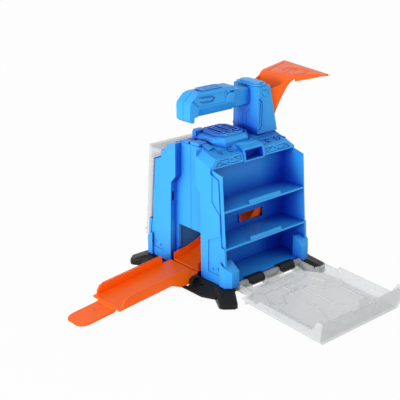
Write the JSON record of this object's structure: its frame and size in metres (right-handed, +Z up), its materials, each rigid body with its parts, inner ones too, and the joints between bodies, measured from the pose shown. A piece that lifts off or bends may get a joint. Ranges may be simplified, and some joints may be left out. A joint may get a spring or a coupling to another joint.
{
  "type": "toy garage",
  "caption": "Portable two-sided toy garage for small cars, with shelves behind clear fold-down doors, carrying handle, top chute, inner slide and fold-out ramp.",
  "frame": {"origin": "centre of the base plate's flat underside, on the parting plane of the housing", "axes": "+X from the ramp to the chute, along the front; -Y to the front door; +Z up"},
  "size_m": [0.2475, 0.2087, 0.1576],
  "materials": {
    "body_blue": "glossy moulded plastic",
    "orange": "glossy moulded plastic",
    "black": "satin moulded plastic",
    "clear": "frosted translucent plastic",
    "screw_steel": "plain steel"
  },
  "bodies": {
    "housing": {"base_frame": "black", "front_shell": "body_blue", "rear_shell": "body_blue", "roof_hatch": "body_blue", "tower_front": "body_blue", "tower_rear": "body_blue", "tower_cap": "body_blue", "chute": "orange", "slide_track": "orange", "base_screw_1": "screw_steel", "base_screw_2": "screw_steel", "base_screw_3": "screw_steel", "base_screw_4": "screw_steel", "shell_screw_1": "screw_steel", "shell_screw_2": "screw_steel", "shell_screw_3": "screw_steel", "shell_screw_4": "screw_steel", "tower_screw_1": "screw_steel", "tower_screw_2": "screw_steel", "tower_screw_3": "screw_steel", "tower_screw_4": "screw_steel"},
    "front_door": {"front_door": "clear"},
    "rear_door": {"rear_door": "clear"},
    "ramp": {"ramp": "orange"}
  },
  "joints": [
    {"name": "front_door_hinge", "type": "hinge", "parent": "housing", "child": "front_door", "pos_m": [0, -0.0495, 0.0068], "axis": [-1, 0, 0], "range_deg": [0, 97.5]},
    {"name": "rear_door_hinge", "type": "hinge", "parent": "housing", "child": "rear_door", "pos_m": [0, 0.0495, 0.0068], "axis": [-1, 0, 0], "range_deg": [0, 97.5]},
    {"name": "ramp_hinge", "type": "hinge", "parent": "housing", "child": "ramp", "pos_m": [-0.0535, 0, 0.0055], "axis": [0, 1, 0], "range_deg": [0, 95]}
  ]
}
